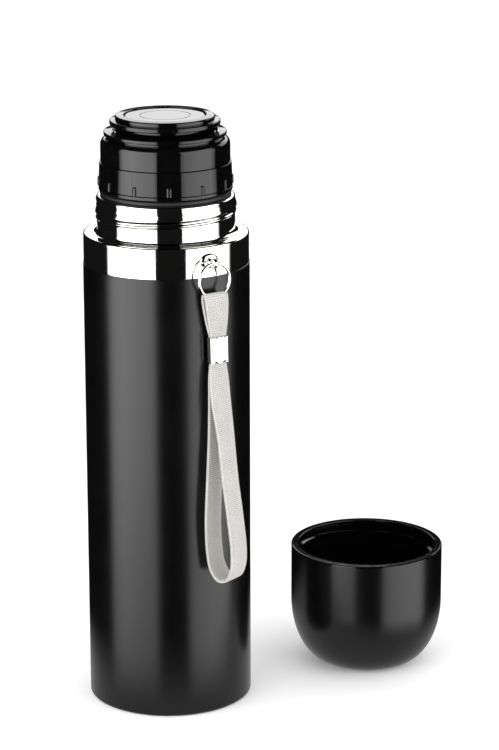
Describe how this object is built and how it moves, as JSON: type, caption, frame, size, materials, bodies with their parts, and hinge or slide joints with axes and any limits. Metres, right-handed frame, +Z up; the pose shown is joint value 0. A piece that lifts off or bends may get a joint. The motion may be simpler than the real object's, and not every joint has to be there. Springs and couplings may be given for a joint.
{
  "type": "vacuum flask",
  "caption": "Slim double-wall vacuum flask with a screw-in push-button pouring stopper, a separate drinking cup and a webbing wrist strap on a neck lug.",
  "frame": {"origin": "on the flask's axis, on the surface that the flask stands on", "axes": "+Z up along the flask's axis towards the stopper; -Y is the flask's front and the cup stands towards +X"},
  "size_m": [0.1485, 0.1103, 0.2431],
  "materials": {
    "black_paint": "satin powder coat",
    "polished_steel": "polished stainless steel",
    "brushed_steel": "brushed stainless steel",
    "brass_braze": "brazed vacuum seal",
    "getter_alloy": "sintered",
    "copper_foil": "smooth foil",
    "grey_webbing": "woven polyester webbing",
    "silicone": "matt silicone",
    "black_gloss_plastic": "glossy moulded polypropylene",
    "black_satin_plastic": "satin moulded polypropylene",
    "foam": "rigid foam",
    "natural_plastic": "natural polypropylene",
    "spring_steel": "drawn wire"
  },
  "bodies": {
    "flask": {"outer_shell": "black_paint", "neck_shell": "polished_steel", "inner_vessel": "brushed_steel", "outer_bottom": "brushed_steel", "vacuum_seal": "brass_braze", "base_cover": "black_satin_plastic", "getter": "getter_alloy", "foil_wrap": "copper_foil", "strap_lug": "polished_steel"},
    "gasket": {"neck_gasket": "silicone"},
    "stopper": {"stopper_core": "black_gloss_plastic", "plug_insulation": "foam", "grip_ring": "black_gloss_plastic", "collar": "black_gloss_plastic", "stopper_cap": "black_gloss_plastic", "stem_guide": "natural_plastic"},
    "button": {"button": "black_gloss_plastic", "valve_stem": "natural_plastic", "valve_disc": "natural_plastic", "valve_seal": "silicone", "valve_clip": "spring_steel", "button_spring": "spring_steel"},
    "cup": {"cup_shell": "black_paint", "cup_liner": "black_gloss_plastic"},
    "ring": {"carry_ring": "polished_steel"},
    "strap": {"strap": "grey_webbing", "strap_clip": "polished_steel"}
  },
  "joints": [
    {"name": "stopper_rise", "type": "slide", "parent": "flask", "child": "gasket", "axis": [0, 0, 1], "range_m": [0, 0.0401]},
    {"name": "stopper_turn", "type": "hinge", "parent": "gasket", "child": "stopper", "pos_m": [0, 0, 0.2], "axis": [0, 0, 1], "range_deg": [0, 1440]},
    {"name": "button_press", "type": "slide", "parent": "stopper", "child": "button", "axis": [0, 0, -1], "range_m": [0, 0.004], "stiffness_N_per_m": 900, "springref_m": -0.004, "deforming": ["button_spring"]},
    {"name": "cup_lift", "type": "slide", "parent": "flask", "child": "cup", "axis": [0, 0, 1], "range_m": [0, 0.25]},
    {"name": "ring_swing", "type": "hinge", "parent": "flask", "child": "ring", "pos_m": [0.01974, -0.03159, 0.18966], "axis": [-0.848, -0.5299, 0], "range_deg": [0, 100]},
    {"name": "strap_swing", "type": "hinge", "parent": "ring", "child": "strap", "pos_m": [0.01974, -0.03159, 0.17595], "axis": [-0.848, -0.5299, 0], "range_deg": [0, 25]}
  ],
  "couplings": [
    {"joint": "stopper_rise", "follows": "stopper_turn", "m_per_rad": 0.0015915}
  ]
}
